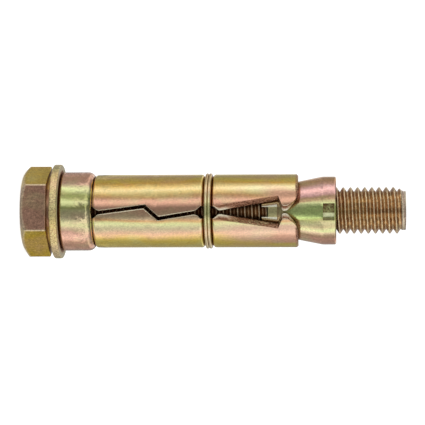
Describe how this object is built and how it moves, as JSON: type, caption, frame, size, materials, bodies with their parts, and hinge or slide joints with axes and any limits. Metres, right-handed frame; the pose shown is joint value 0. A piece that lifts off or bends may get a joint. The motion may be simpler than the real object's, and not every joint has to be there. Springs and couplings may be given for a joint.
{
  "type": "shield anchor",
  "caption": "Loose-bolt shield anchor: a hex bolt draws a taper nut into a split steel shield, which spreads and grips the hole.",
  "frame": {"origin": "centre of the flat top of the bolt's head, which the anchor stands on", "axes": "+Z along the bolt from its head to its thread end; the first split of the shield faces -Y"},
  "size_m": [0.02, 0.02, 0.0808],
  "materials": {
    "bolt_zinc": "yellow zinc plate, iridescent, satin",
    "washer_zinc": "yellow zinc plate, iridescent, satin",
    "ferrule_zinc": "yellow zinc plate, iridescent, satin",
    "shield_zinc": "yellow zinc plate, iridescent, satin",
    "ring_wire": "yellow zinc plate, iridescent, satin",
    "nut_zinc": "yellow zinc plate, iridescent, satin"
  },
  "bodies": {
    "bolt": {"hex_bolt": "bolt_zinc"},
    "washer": {"flat_washer": "washer_zinc"},
    "shield": {"ferrule": "ferrule_zinc", "wire_ring": "ring_wire"},
    "segment_1": {"shield_segment_1": "shield_zinc"},
    "segment_2": {"shield_segment_2": "shield_zinc"},
    "segment_3": {"shield_segment_3": "shield_zinc"},
    "nut": {"taper_nut": "nut_zinc"}
  },
  "joints": [
    {"name": "washer_spin", "type": "hinge", "parent": "bolt", "child": "washer", "pos_m": [0, 0, 0.0072], "axis": [0, 0, 1], "continuous": true},
    {"name": "bolt_turn", "type": "hinge", "parent": "bolt", "child": "shield", "pos_m": [0, 0, 0.0081], "axis": [0, 0, -1], "range_deg": [0, 1080], "deforming": ["wire_ring"]},
    {"name": "nut_draw", "type": "slide", "parent": "shield", "child": "nut", "axis": [0, 0, -1], "range_m": [0, 0.0045]},
    {"name": "segment_1_spread", "type": "hinge", "parent": "shield", "child": "segment_1", "pos_m": [0.00615, -0.00355, 0.0146], "axis": [0.5, 0.866, 0], "range_deg": [0, 1.9]},
    {"name": "segment_2_spread", "type": "hinge", "parent": "shield", "child": "segment_2", "pos_m": [0, 0.0071, 0.0146], "axis": [-1, 0, 0], "range_deg": [0, 1.9]},
    {"name": "segment_3_spread", "type": "hinge", "parent": "shield", "child": "segment_3", "pos_m": [-0.00615, -0.00355, 0.0146], "axis": [0.5, -0.866, 0], "range_deg": [0, 1.9]}
  ],
  "couplings": [
    {"joint": "nut_draw", "follows": "bolt_turn", "m_per_rad": 0.00023873},
    {"joint": "segment_1_spread", "follows": "bolt_turn", "ratio": 0.001759},
    {"joint": "segment_2_spread", "follows": "bolt_turn", "ratio": 0.001759},
    {"joint": "segment_3_spread", "follows": "bolt_turn", "ratio": 0.001759}
  ]
}
